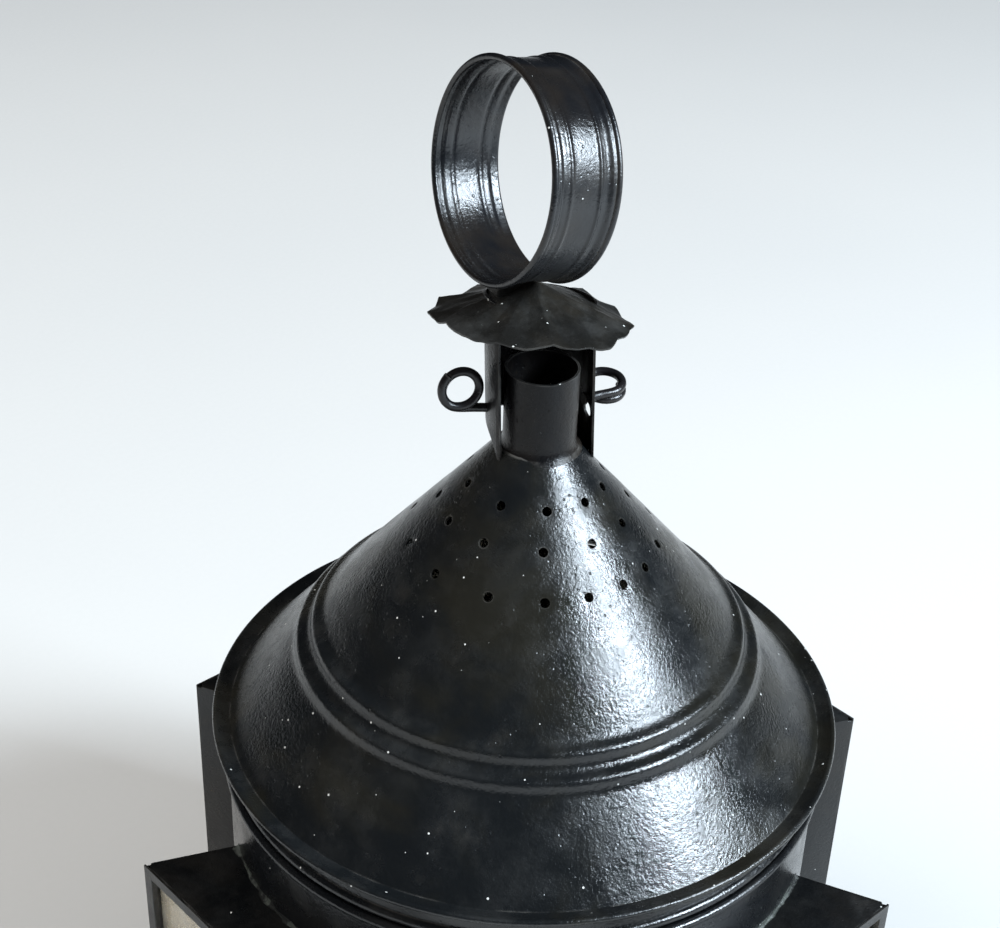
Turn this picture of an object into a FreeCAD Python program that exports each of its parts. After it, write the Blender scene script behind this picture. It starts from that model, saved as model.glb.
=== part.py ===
import FreeCAD, Part
import math
import os
import re
import Sketcher

# Candle lantern of black painted tin. Millimetres, +Z up, origin at the middle of the base.
# +Y, -Y, +X and -X each carry one glazed window box on a round drum.

document = FreeCAD.newDocument("CandleLantern")

SIZES = {
    "sheet": 0.8,
    # roof cone and its flat brim
    "brim_radius": 112,
    "brim_height": 196,
    "brim_width": 6.2,
    "brim_rise": 1,
    "brim_wire": 1.1,
    "brim_overlap": 1.76,
    "cone_top_radius": 12.7,
    "cone_top_height": 305.7,
    "upper_bead_radius": 74.4,
    "lower_bead_radius": 80.1,
    "bead_size": 2.1,
    "punch_size": 1.65,
    "punch_reach": 4,
    # collar that drops into the drum, with the bead it rests on
    "collar_radius": 105.2,
    "collar_depth": 31,
    "stop_bead": 1.8,
    # chimney
    "tube_radius": 12.3,
    "tube_top": 333.6,
    "skirt_radius": 14.4,
    "skirt_height": 4.5,
    "tube_nick": 1.5,
    # wind guard round the chimney
    "guard_radius": 18.1,
    "guard_length": 60,
    "guard_foot": 6,
    "scribe_depth": 0.3,
    "guard_mouth": 70.5,
    "guard_level": 300.2,
    "eye_level": 16.1,
    "vent_level": 11.6,
    "vent_size": 2.6,
    "notch_size": 13,
    "notch_side": 8,
    # wire eyes
    "eye_wire": 1.55,
    "eye_radius": 6.3,
    "left_reach": 27.7,
    "right_reach": 26,
    "eye_bore": 1.59,
    "eye_head": 2.4,
    "eye_head_depth": 1.1,
    # crimped rain cap
    "cap_radius": 32.5,
    "cap_rise": 11,
    "cap_level": 352.3,
    "cap_wave": 2.6,
    "cap_neck": 4,
    # ring handle
    "ring_radius": 35.2,
    "ring_waist": 33.9,
    "ring_width": 24.8,
    "ring_wire": 1.1,
    "ring_level": 401,
    "ring_step": 1,
    "saddle_width": 12,
    "saddle_length": 10,
    "saddle_height": 12,
    "saddle_drop": 6.5,
    "saddle_slip": 3.5,
    # drum
    "drum_radius": 107,
    "drum_height": 180,
    "drum_wire": 1.6,
    "foot_height": 4,
    "foot_width": 2.6,
    "floor_level": 1.8,
    # window boxes
    "face_reach": 128,
    "face_half": 57,
    "box_bottom": 26,
    "box_height": 127.4,
    "opening_half": 39,
    "opening_bottom": 31,
    "opening_height": 117,
    "corner_clip": 2.5,
    "frame_border": 4.2,
    "frame_return": 2.6,
    "pane_thickness": 2,
    "pane_margin": 1.8,
    "clip_length": 9,
    "clip_reach": 4,
    # candle and its holder
    "pan_radius": 34,
    "pan_rim": 6,
    "socket_bore": 11.6,
    "socket_height": 24,
    "candle_radius": 11,
    "candle_length": 92,
    "candle_shoulder": 3,
    "wick_radius": 0.9,
    "wick_length": 9,
    "wick_depth": 12,
}

# Hand-set directions in degrees and shifts: the crown is turned, and its parts lean a little.
CROWN_TURN = -20
GUARD_LEAN = 2.2
CAP_TILT = 9
RING_TURN = -12
RING_LEAN = -10
GUARD_SHIFT = -1.2
GUARD_BACK = 3
TUBE_SHIFT = -0.8
CAP_SHIFT = 3.7
RING_SHIFT = 8.1
# each wire eye: turn round the guard, rise of its shank, twist and reach of its loop
LEFT_EYE = (170, 8, 4, "left_reach")
RIGHT_EYE = (0, 0, -78, "right_reach")
TOWARDS_LEAN = FreeCAD.Vector(-math.sqrt(0.5), math.sqrt(0.5), 0)
LEAN_HINGE = FreeCAD.Vector(-math.sqrt(0.5), -math.sqrt(0.5), 0)
Z_AXIS = FreeCAD.Vector(0, 0, 1)

# The vents are punched by eye, so each row's spacing wanders (degrees round the roof).
PUNCH_ROWS = [
    (23.7, (-205, -162, -124, -89, -60, -29, 8, 44, 80, 115)),
    (32.3, (-225, -195, -164, -128, -97, -67, -34, 0, 34, 68, 101)),
    (42.9, (-240, -209, -182, -153, -128, -108, -89, -72, -52, -24, 0, 24, 48, 72, 96)),
]

CAP_FLUTES = 11


def make_sheet():
    sheet = document.addObject("Spreadsheet::Sheet", "Sizes")
    for row, (alias, value) in enumerate(SIZES.items(), start=1):
        sheet.set("A%d" % row, alias)
        sheet.set("B%d" % row, str(value))
        sheet.setAlias("B%d" % row, alias)
    document.recompute()
    return sheet


sizes = make_sheet()


def formula(text):
    """Write each size's alias in an expression with the sheet's name before it."""
    return re.sub(
        r"[a-z_]+",
        lambda word: "Sizes." + word.group(0) if word.group(0) in SIZES else word.group(0),
        str(text),
    )


def value(text):
    return float(sizes.evalExpression(str(text)))


def bind(thing, setting, text):
    thing.setExpression(setting, formula(text))


def new_body(name):
    body = document.addObject("PartDesign::Body", name + "_body")
    body.Label = name
    return body


def new_sketch(body, plane, name, level="0"):
    """A sketch on one of the body's own origin planes, moved along its normal by level."""
    sketch = body.newObject("Sketcher::SketchObject", name)
    planes = [item for item in body.Origin.OriginFeatures if item.Role == plane]
    sketch.AttachmentSupport = (planes[0], [""])
    sketch.MapMode = "FlatFace"
    bind(sketch, "AttachmentOffset.Base.z", level)
    return sketch


def place_point(sketch, index, end, across, up):
    """Tie one end of a sketch element to its distances from the sketch's origin."""
    for kind, text in (("DistanceX", across), ("DistanceY", up)):
        number = sketch.addConstraint(Sketcher.Constraint(kind, -1, 1, index, end, value(text)))
        if str(text) != "0":
            bind(sketch, "Constraints[%d]" % number, text)


def add_outline(sketch, corners):
    """A closed outline of straight lines through corners given as pairs of formulas."""
    points = [FreeCAD.Vector(value(across), value(up), 0) for across, up in corners]
    first = sketch.GeometryCount
    count = len(points)
    for number in range(count):
        sketch.addGeometry(Part.LineSegment(points[number], points[(number + 1) % count]), False)
    for number in range(count):
        following = first + (number + 1) % count
        sketch.addConstraint(Sketcher.Constraint("Coincident", first + number, 2, following, 1))
    for number, (across, up) in enumerate(corners):
        place_point(sketch, first + number, 1, across, up)


def add_circle(sketch, across, up, radius):
    centre = FreeCAD.Vector(value(across), value(up), 0)
    index = sketch.addGeometry(Part.Circle(centre, FreeCAD.Vector(0, 0, 1), value(radius)), False)
    place_point(sketch, index, 3, across, up)
    number = sketch.addConstraint(Sketcher.Constraint("Radius", index, value(radius)))
    bind(sketch, "Constraints[%d]" % number, radius)


def revolve(body, name, corners):
    """Turn an outline of (radius, height) corners about the body's Z axis."""
    sketch = new_sketch(body, "XZ_Plane", name + "_profile")
    add_outline(sketch, corners)
    feature = body.newObject("PartDesign::Revolution", name)
    feature.Profile = sketch
    feature.ReferenceAxis = (sketch, ["V_Axis"])
    feature.Angle = 360
    document.recompute()
    return feature


def revolve_circles(body, name, circles):
    sketch = new_sketch(body, "XZ_Plane", name + "_profile")
    for across, up, radius in circles:
        add_circle(sketch, across, up, radius)
    feature = body.newObject("PartDesign::Revolution", name)
    feature.Profile = sketch
    feature.ReferenceAxis = (sketch, ["V_Axis"])
    feature.Angle = 360
    document.recompute()
    return feature


def pad(body, name, sketch, length):
    feature = body.newObject("PartDesign::Pad", name)
    feature.Profile = sketch
    bind(feature, "Length", length)
    document.recompute()
    return feature


def pocket(body, name, sketch, length, reverse=False, both=False):
    """Cut a sketch into the body, and make sure that it took something away."""
    before = body.Shape.Volume
    feature = body.newObject("PartDesign::Pocket", name)
    feature.Profile = sketch
    feature.Type = 0
    bind(feature, "Length", length)
    feature.Reversed = reverse
    feature.Midplane = both
    document.recompute()
    if not body.Shape.Volume < before - 0.01:
        raise RuntimeError(name + " cuts nothing")
    return feature


def make_ring_wire(name, ring, wire, level):
    """One round wire bent into a level ring."""
    hoop = document.addObject("Part::Torus", name)
    hoop.Label = name
    bind(hoop, "Radius1", ring)
    bind(hoop, "Radius2", wire)
    bind(hoop, "Placement.Base.z", level)
    return hoop


FOLD = "(brim_radius - brim_width)"
SLOPE = "((cone_top_height - brim_height) / (brim_radius - brim_width - cone_top_radius))"


def cone_height(radius):
    """The height of the cone's outer face at a radius."""
    return "brim_height + (%s - %s) * %s" % (FOLD, radius, SLOPE)


def make_roof_cone():
    body = new_body("roof_blank")
    plumb = "(sheet * 1.5)"
    edge = "(brim_radius - brim_overlap)"
    revolve(body, "cone_wall", [
        (edge, "brim_height + brim_rise"),
        (FOLD, "brim_height"),
        ("cone_top_radius", "cone_top_height"),
        ("cone_top_radius", "cone_top_height - " + plumb),
        (FOLD + " - 0.6", "brim_height - sheet"),
        (edge, "brim_height + brim_rise - sheet"),
    ])
    revolve_circles(body, "roof_beads", [
        ("upper_bead_radius", cone_height("upper_bead_radius"), "bead_size"),
        ("lower_bead_radius", cone_height("lower_bead_radius"), "bead_size"),
    ])
    slope = value(SLOPE)
    punches = []
    for row, (radius, angles) in enumerate(PUNCH_ROWS, start=1):
        for number, angle in enumerate(angles, start=1):
            punch = document.addObject("Part::Cylinder", "punch_%d_%d" % (row, number))
            bind(punch, "Radius", "punch_size")
            bind(punch, "Height", "2 * punch_reach")
            around = math.radians(angle)
            outward = FreeCAD.Vector(slope * math.cos(around), slope * math.sin(around), 1)
            outward.normalize()
            spot = FreeCAD.Vector(radius * math.cos(around), radius * math.sin(around), 0)
            spot.z = value(cone_height(radius))
            turn = FreeCAD.Rotation(Z_AXIS, outward)
            punch.Placement = FreeCAD.Placement(
                spot - outward * value("punch_reach"), turn)
            punches.append(punch)
    tools = document.addObject("Part::Compound", "roof_punches")
    tools.Links = punches
    roof = document.addObject("Part::Cut", "roof_cone")
    roof.Label = "roof_cone"
    roof.Base = body
    roof.Tool = tools
    return roof


def make_roof_collar():
    body = new_body("roof_collar")
    inner = "collar_radius - sheet"
    top = "brim_height - sheet"
    revolve(body, "collar_band", [
        ("collar_radius", "brim_height - collar_depth"),
        ("collar_radius", top),
        (inner, top),
        (inner, "brim_height - collar_depth"),
    ])
    revolve_circles(body, "collar_stop", [
        ("collar_radius", "drum_height + 2 * stop_bead - 0.1", "stop_bead"),
    ])
    return body


def make_chimney():
    body = new_body("chimney_tube")
    on_cone = cone_height("skirt_radius")
    inner = "tube_radius - sheet"
    revolve(body, "chimney_wall", [
        (inner, "tube_top"),
        ("tube_radius", "tube_top"),
        ("tube_radius", on_cone + " + skirt_height"),
        ("skirt_radius", on_cone + " + 0.6"),
        ("skirt_radius", on_cone),
        ("cone_top_radius", "cone_top_height"),
        ("tube_radius", "cone_top_height"),
        ("tube_radius", "cone_top_height - 3"),
        (inner, "cone_top_height - 3"),
    ])
    # the rim was cut with snips, a shallow nick towards the open side of the guard
    nick = new_sketch(body, "XZ_Plane", "nick_shape")
    add_outline(nick, [
        ("0 - tube_radius", "tube_top"),
        ("4", "tube_top - tube_nick"),
        ("tube_radius", "tube_top + 1"),
        ("0 - tube_radius", "tube_top + 1"),
    ])
    pocket(body, "rim_nick", nick, "tube_radius * 2", reverse=True)
    body.Placement = FreeCAD.Placement(TOWARDS_LEAN * TUBE_SHIFT, FreeCAD.Rotation(Z_AXIS, -45))
    return body


def lean(degrees):
    return FreeCAD.Rotation(LEAN_HINGE, degrees)


guard_frame = FreeCAD.Placement(
    TOWARDS_LEAN * GUARD_SHIFT - LEAN_HINGE * GUARD_BACK + Z_AXIS * value("guard_level"),
    lean(GUARD_LEAN) * FreeCAD.Rotation(Z_AXIS, CROWN_TURN),
)


cap_frame = FreeCAD.Placement(
    TOWARDS_LEAN * CAP_SHIFT + Z_AXIS * value("cap_level"),
    FreeCAD.Rotation(TOWARDS_LEAN, CAP_TILT) * FreeCAD.Rotation(Z_AXIS, CROWN_TURN),
)


def eye_placement(setting):
    """The frame of one wire eye, with its shank along X."""
    turn, rise, twist, reach = setting
    spin = FreeCAD.Rotation(Z_AXIS, turn) * FreeCAD.Rotation(FreeCAD.Vector(0, 1, 0), -rise)
    spin = spin * FreeCAD.Rotation(FreeCAD.Vector(1, 0, 0), twist)
    return guard_frame.multiply(FreeCAD.Placement(FreeCAD.Vector(0, 0, value("eye_level")), spin))


def make_wind_guard():
    """A sheet bent to three fifths of a circle, open on its own -Y side, fitted to the cone and cap."""
    body = new_body("guard_sheet")
    inner = "(guard_radius - sheet)"
    plan = new_sketch(body, "XY_Plane", "guard_plan", "0 - guard_foot")
    add_circle(plan, "0", "0", "guard_radius")
    add_circle(plan, "0", "0", inner)
    pad(body, "guard_wall", plan, "guard_length + guard_foot")
    mouth = new_sketch(body, "XY_Plane", "mouth_plan", "0 - guard_foot")
    far = "guard_radius * 2"
    across = "guard_radius * 2 * sin(guard_mouth * 1deg)"
    down = "0 - guard_radius * 2 * cos(guard_mouth * 1deg)"
    add_outline(mouth, [
        ("0", "0"),
        ("0 - " + across, down),
        ("0 - " + across, "0 - " + far),
        (across, "0 - " + far),
        (across, down),
    ])
    pocket(body, "guard_opening", mouth, "guard_length + guard_foot", reverse=True)
    vent = new_sketch(body, "YZ_Plane", "vent_bore")
    add_circle(vent, "0", "vent_level", "vent_size")
    pocket(body, "vent_hole", vent, "guard_radius * 2", reverse=True)
    notch = new_sketch(body, "YZ_Plane", "notch_bore")
    add_circle(notch, "notch_side", "0", "notch_size")
    pocket(body, "foot_notch", notch, "guard_radius * 2")
    body.Placement = guard_frame
    tools = []
    for name, setting in (("left_eye_bore", LEFT_EYE), ("right_eye_bore", RIGHT_EYE)):
        bore = document.addObject("Part::Cylinder", name)
        bind(bore, "Radius", "eye_bore")
        bind(bore, "Height", "guard_radius")
        outward = FreeCAD.Rotation(Z_AXIS, FreeCAD.Vector(1, 0, 0))
        start = FreeCAD.Vector(value("guard_radius / 2"), 0, 0)
        bore.Placement = eye_placement(setting).multiply(FreeCAD.Placement(start, outward))
        tools.append(bore)
    scribe = document.addObject("Part::Cone", "roof_scribe")
    bind(scribe, "Radius1", FOLD)
    bind(scribe, "Radius2", "cone_top_radius")
    bind(scribe, "Height", "cone_top_height - brim_height")
    scribe.Placement.Base = Z_AXIS * value("brim_height - scribe_depth")
    tools.append(scribe)
    above = new_body("cap_scribe")
    revolve(above, "above_cap", [
        ("0", "cap_rise"),
        ("cap_neck", "cap_rise - sheet / 2"),
        ("cap_radius", "0 - sheet / 2"),
        ("cap_radius", "guard_length"),
        ("0", "guard_length"),
    ])
    above.Placement = cap_frame
    tools.append(above)
    compound = document.addObject("Part::Compound", "guard_tools")
    compound.Links = tools
    guard = document.addObject("Part::Cut", "wind_guard")
    guard.Label = "wind_guard"
    guard.Base = body
    guard.Tool = compound
    return guard


def make_wire_eye(name, setting):
    """A loop of wire whose shank runs through the guard and is headed inside it."""
    reach = setting[-1]
    loop = document.addObject("Part::Torus", name + "_loop")
    bind(loop, "Radius1", "eye_radius")
    bind(loop, "Radius2", "eye_wire")
    flat = FreeCAD.Rotation(FreeCAD.Vector(1, 0, 0), 90)
    loop.Placement = FreeCAD.Placement(
        FreeCAD.Vector(value(reach), 0, value("eye_radius")), flat)
    shank = document.addObject("Part::Cylinder", name + "_shank")
    bind(shank, "Radius", "eye_wire - 0.04")
    bind(shank, "Height", reach + " - guard_radius + 3")
    outward = FreeCAD.Rotation(Z_AXIS, FreeCAD.Vector(1, 0, 0))
    start = FreeCAD.Vector(value("guard_radius - 2.6"), 0, 0)
    shank.Placement = FreeCAD.Placement(start, outward)
    head = document.addObject("Part::Cylinder", name + "_head")
    bind(head, "Radius", "eye_head")
    bind(head, "Height", "eye_head_depth")
    head.Placement = FreeCAD.Placement(start, outward)
    eye = document.addObject("Part::MultiFuse", name)
    eye.Label = name
    eye.Shapes = [loop, shank, head]
    eye.Placement = eye_placement(setting)
    return eye


def make_rain_cap():
    """A round sheet pleated into a low cone, its rim waving up and down."""
    spokes = 2 * CAP_FLUTES
    wave = value("cap_wave")
    thickness = value("sheet")

    def ring_points(radius, height, swing, drop):
        points = []
        for spoke in range(spokes):
            around = 2 * math.pi * spoke / spokes
            up = swing if spoke % 2 == 0 else -swing
            reach = radius * (1 if spoke % 2 == 0 else 0.95)
            points.append(FreeCAD.Vector(
                reach * math.cos(around), reach * math.sin(around), height + up - drop))
        return points

    def facet(*corners):
        return Part.Face(Part.makePolygon(list(corners) + [corners[0]]))

    neck = value("cap_neck")
    rise = value("cap_rise")
    levels = []
    for drop in (0, thickness):
        rim = ring_points(value("cap_radius"), 0, wave / 2, drop)
        crown = ring_points(neck, rise, 0, drop)
        levels.append((rim, crown, FreeCAD.Vector(0, 0, rise + 0.6 - drop)))
    faces = []
    for rim, crown, peak in levels:
        for spoke in range(spokes):
            after = (spoke + 1) % spokes
            faces.append(facet(rim[spoke], rim[after], crown[spoke]))
            faces.append(facet(rim[after], crown[after], crown[spoke]))
            faces.append(facet(crown[spoke], crown[after], peak))
    upper_rim = levels[0][0]
    lower_rim = levels[1][0]
    for spoke in range(spokes):
        after = (spoke + 1) % spokes
        faces.append(facet(upper_rim[spoke], upper_rim[after], lower_rim[after], lower_rim[spoke]))
    shell = Part.makeShell(faces)
    solid = Part.makeSolid(shell)
    if solid.Volume < 0:
        solid.reverse()
    cap = document.addObject("Part::Feature", "rain_cap")
    cap.Label = "rain_cap"
    cap.Shape = solid
    cap.Placement = cap_frame
    return cap


ring_middle = TOWARDS_LEAN * RING_SHIFT + Z_AXIS * value("ring_level")
ring_lean = lean(RING_LEAN) * FreeCAD.Rotation(Z_AXIS, RING_TURN)
ring_frame = FreeCAD.Placement(
    ring_middle, ring_lean * FreeCAD.Rotation(FreeCAD.Vector(0, 1, 0), 90))


def make_ring_handle():
    """A hooped band, waisted between its two wired rims."""
    body = new_body("ring_handle")
    edge = "(ring_width / 2 - 2 * ring_wire)"
    lip = "(ring_radius - 2 * ring_wire + 0.3)"
    outer = []
    inner = []
    for sign in ("-1", "1"):
        outer.append((lip + " + sheet", sign + " * " + edge))
        outer.append(("ring_waist + sheet", sign + " * (%s - 2 * ring_step)" % edge))
        outer.append(("ring_waist + sheet", sign + " * (%s - 3 * ring_step)" % edge))
        outer.append(("ring_waist", sign + " * (%s - 4 * ring_step)" % edge))
        inner.append((lip, sign + " * " + edge))
        inner.append(("ring_waist", sign + " * (%s - 2 * ring_step)" % edge))
        inner.append(("ring_waist", sign + " * (%s - 3 * ring_step)" % edge))
        inner.append(("ring_waist - sheet", sign + " * (%s - 4 * ring_step)" % edge))
    lower_outer, upper_outer = outer[:4], outer[4:]
    lower_inner, upper_inner = inner[:4], inner[4:]
    corners = lower_outer + upper_outer[::-1] + upper_inner + lower_inner[::-1]
    revolve(body, "ring_band", corners)
    body.Placement = ring_frame
    return body


def make_ring_wires():
    wires = []
    for name, sign in (("front_rim", "-1"), ("rear_rim", "1")):
        wires.append(make_ring_wire(
            "ring_" + name, "ring_radius - ring_wire", "ring_wire",
            sign + " * (ring_width / 2 - ring_wire)"))
    group = document.addObject("Part::Compound", "ring_wires")
    group.Label = "ring_wires"
    group.Links = wires
    group.Placement = ring_frame
    return group


def make_ring_saddle():
    """The block soldered between the rain cap and the ring."""
    block = document.addObject("Part::Box", "saddle_block")
    bind(block, "Length", "saddle_width")
    bind(block, "Width", "saddle_length")
    bind(block, "Height", "saddle_height")
    corner = FreeCAD.Vector(
        value("saddle_slip - saddle_width / 2"),
        -value("saddle_length") / 2,
        -value("ring_radius + saddle_drop"),
    )
    block.Placement = FreeCAD.Placement(corner, FreeCAD.Rotation())
    hollow = document.addObject("Part::Cylinder", "saddle_hollow")
    bind(hollow, "Radius", "ring_waist + 0.02")
    bind(hollow, "Height", "4 * saddle_width")
    hollow.Placement = FreeCAD.Placement(
        FreeCAD.Vector(-2 * value("saddle_width"), 0, 0),
        FreeCAD.Rotation(FreeCAD.Vector(0, 1, 0), 90))
    saddle = document.addObject("Part::Cut", "ring_saddle")
    saddle.Label = "ring_saddle"
    saddle.Base = block
    saddle.Tool = hollow
    saddle.Placement = FreeCAD.Placement(ring_middle, ring_lean)
    return saddle


def make_drum():
    body = new_body("drum_shell")
    inner = "drum_radius - sheet"
    revolve(body, "drum_wall", [
        ("drum_radius", "foot_height"),
        ("drum_radius", "drum_height - drum_wire"),
        (inner, "drum_height - drum_wire"),
        (inner, "foot_height"),
    ])
    for plane in ("XZ_Plane", "YZ_Plane"):
        window = new_sketch(body, plane, "window_" + plane[:2].lower())
        add_outline(window, [
            ("0 - opening_half", "opening_bottom"),
            ("opening_half", "opening_bottom"),
            ("opening_half", "opening_bottom + opening_height"),
            ("0 - opening_half", "opening_bottom + opening_height"),
        ])
        pocket(body, "windows_" + plane[:2].lower(), window, "drum_radius * 3", both=True)
    return body


def make_foot_ring():
    body = new_body("foot_ring")
    revolve(body, "foot_band", [
        ("drum_radius - sheet", "0"),
        ("drum_radius + foot_width - 1", "0"),
        ("drum_radius + foot_width", "1"),
        ("drum_radius + foot_width", "foot_height - 1"),
        ("drum_radius + foot_width - 1", "foot_height"),
        ("drum_radius - sheet", "foot_height"),
    ])
    return body


def make_base_plate():
    body = new_body("base_plate")
    outer = "(drum_radius - sheet)"
    revolve(body, "base_disc", [
        ("0", "floor_level - sheet"),
        (outer, "floor_level - sheet"),
        (outer, "floor_level + 4"),
        (outer + " - sheet", "floor_level + 4"),
        (outer + " - sheet", "floor_level"),
        ("0", "floor_level"),
    ])
    return body


def side_turn(quarter):
    """Turn a piece made on the -Y side to its own side of the drum."""
    return FreeCAD.Placement(FreeCAD.Vector(), FreeCAD.Rotation(Z_AXIS, 90 * quarter))


def make_window_box(side, quarter):
    """Top, bottom and two radial side walls, open to the drum and to the glass."""
    body = new_body(side + "_window_box")
    plan = new_sketch(body, "XY_Plane", side + "_box_plan", "box_bottom")
    near = "(drum_radius * 0.8)"
    near_half = near + " * face_half / face_reach"
    add_outline(plan, [
        ("0 - face_half", "0 - face_reach"),
        ("face_half", "0 - face_reach"),
        (near_half, "0 - " + near),
        ("0 - " + near_half, "0 - " + near),
    ])
    pad(body, side + "_box_block", plan, "box_height")
    cavity = new_sketch(body, "XY_Plane", side + "_box_inside", "box_bottom + sheet")
    skin = "sheet * 1.1"
    add_outline(cavity, [
        ("0 - (face_half - %s)" % skin, "0 - face_reach"),
        ("face_half - " + skin, "0 - face_reach"),
        (near_half + " - " + skin, "0 - " + near),
        ("0 - (%s - %s)" % (near_half, skin), "0 - " + near),
    ])
    pocket(body, side + "_box_hollow", cavity, "box_height - 2 * sheet", reverse=True)
    drum = new_sketch(body, "XY_Plane", side + "_box_fit")
    add_circle(drum, "0", "0", "drum_radius")
    pocket(body, side + "_box_seat", drum, "drum_height", reverse=True)
    clip = new_sketch(body, "XY_Plane", side + "_box_corners", "box_bottom + box_height - sheet")
    for sign in ("-1", "1"):
        add_outline(clip, [
            (sign + " * (face_half + 1)", "0 - face_reach - 1"),
            (sign + " * (face_half - corner_clip)", "0 - face_reach - 1"),
            (sign + " * (face_half - corner_clip)", "0 - face_reach"),
            (sign + " * (face_half - 0.1 * corner_clip)", "corner_clip - face_reach"),
            (sign + " * (face_half + 1)", "corner_clip - face_reach"),
        ])
    pocket(body, side + "_box_clips", clip, "sheet", reverse=True)
    body.Placement = side_turn(quarter)
    return body


def add_rectangle(sketch, half_width, bottom, top):
    add_outline(sketch, [
        ("0 - (%s)" % half_width, bottom),
        (half_width, bottom),
        (half_width, top),
        ("0 - (%s)" % half_width, top),
    ])


def make_window_frame(side, quarter):
    """A flat border round the glass, its inner edge turned back to hold the pane."""
    body = new_body(side + "_window_frame")
    box_top = "box_bottom + box_height"
    face = new_sketch(body, "XZ_Plane", side + "_frame_face", "face_reach")
    add_rectangle(face, "face_half", "box_bottom", box_top)
    add_rectangle(face, "face_half - frame_border", "box_bottom + frame_border",
                  box_top + " - frame_border")
    pad(body, side + "_frame_border", face, "sheet")
    turned = new_sketch(body, "XZ_Plane", side + "_frame_turn", "face_reach - frame_return")
    add_rectangle(turned, "face_half - frame_border + sheet",
                  "box_bottom + frame_border - sheet", box_top + " - frame_border + sheet")
    add_rectangle(turned, "face_half - frame_border", "box_bottom + frame_border",
                  box_top + " - frame_border")
    pad(body, side + "_frame_return", turned, "frame_return")
    body.Placement = side_turn(quarter)
    return body


def make_pane(side, quarter):
    """Flat glass behind the frame's turned edge, lapping it all round."""
    pane = document.addObject("Part::Box", side + "_pane")
    pane.Label = side + "_pane"
    bind(pane, "Length", "2 * (face_half - frame_border - sheet + pane_margin)")
    bind(pane, "Width", "pane_thickness")
    bind(pane, "Height", "box_height - 2 * (frame_border + sheet - pane_margin)")
    corner = FreeCAD.Vector(
        -value("face_half - frame_border - sheet + pane_margin"),
        -value("face_reach - frame_return"),
        value("box_bottom + frame_border + sheet - pane_margin"),
    )
    pane.Placement = side_turn(quarter).multiply(FreeCAD.Placement(corner, FreeCAD.Rotation()))
    return pane


def make_pane_clips(sides):
    """Bent tin tabs soldered to the box walls behind each pane, four to a window."""
    tabs = []
    for side, quarter in sides:
        for hand in (-1, 1):
            for row, share in (("low", 0.2), ("high", 0.72)):
                name = "%s_%s_clip_%s" % (side, "left" if hand < 0 else "right", row)
                tab = document.addObject("Part::Box", name)
                bind(tab, "Length", "clip_reach")
                bind(tab, "Width", "sheet")
                bind(tab, "Height", "clip_length")
                depth = value("face_reach - frame_return - pane_thickness")
                wall = (depth - value("sheet")) * value("face_half / face_reach")
                wall -= value("sheet * 1.1") + 0.01
                across = wall - value("clip_reach") if hand > 0 else -wall
                level = value("box_bottom + box_height * %s" % share)
                corner = FreeCAD.Vector(across, -depth, level)
                tab.Placement = side_turn(quarter).multiply(
                    FreeCAD.Placement(corner, FreeCAD.Rotation()))
                tabs.append(tab)
    clips = document.addObject("Part::Compound", "pane_clips")
    clips.Label = "pane_clips"
    clips.Links = tabs
    return clips


def make_drip_pan():
    body = new_body("drip_pan")
    revolve(body, "pan_dish", [
        ("0", "floor_level"),
        ("pan_radius - 3", "floor_level"),
        ("pan_radius", "floor_level + pan_rim"),
        ("pan_radius - sheet", "floor_level + pan_rim"),
        ("pan_radius - 3 - sheet", "floor_level + sheet"),
        ("0", "floor_level + sheet"),
    ])
    return body


def make_candle_socket():
    body = new_body("candle_socket")
    seat = "(floor_level + sheet)"
    revolve(body, "socket_wall", [
        ("socket_bore", seat),
        ("socket_bore + sheet + 3", seat),
        ("socket_bore + sheet + 3", seat + " + sheet"),
        ("socket_bore + sheet", seat + " + sheet"),
        ("socket_bore + sheet", seat + " + socket_height"),
        ("socket_bore", seat + " + socket_height"),
    ])
    return body


def make_candle():
    body = new_body("candle")
    seat = "(floor_level + sheet + 0.4)"
    top = seat + " + candle_length"
    revolve(body, "candle_stick", [
        ("0", seat),
        ("candle_radius", seat),
        ("candle_radius", top + " - candle_shoulder"),
        ("candle_radius - 1.2", top),
        ("candle_radius - 2.6", top),
        ("wick_radius + 1", top + " - 1.6"),
        ("wick_radius", top + " - 1.6"),
        ("wick_radius", top + " - wick_depth"),
        ("0", top + " - wick_depth"),
    ])
    return body


def make_wick():
    wick = document.addObject("Part::Cylinder", "wick")
    wick.Label = "wick"
    bind(wick, "Radius", "wick_radius")
    bind(wick, "Height", "wick_depth + wick_length")
    bind(wick, "Placement.Base.z", "floor_level + sheet + 0.4 + candle_length - wick_depth")
    return wick


def check_document():
    for item in document.Objects:
        if "Invalid" in item.State or "Error" in item.State:
            raise RuntimeError("%s failed: %s" % (item.Label, item.State))


def write_parts(parts):
    os.makedirs("parts", exist_ok=True)
    for part in parts:
        shape = part.Shape
        if shape.isNull() or not shape.isValid() or not shape.Solids:
            raise RuntimeError(part.Label + " has no valid solid")
    for part in parts:
        part.Shape.exportStep(os.path.join("parts", part.Label + ".step"))
        print("%-22s %2d solid  %10.1f mm3" % (
            part.Label, len(part.Shape.Solids), part.Shape.Volume))


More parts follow.
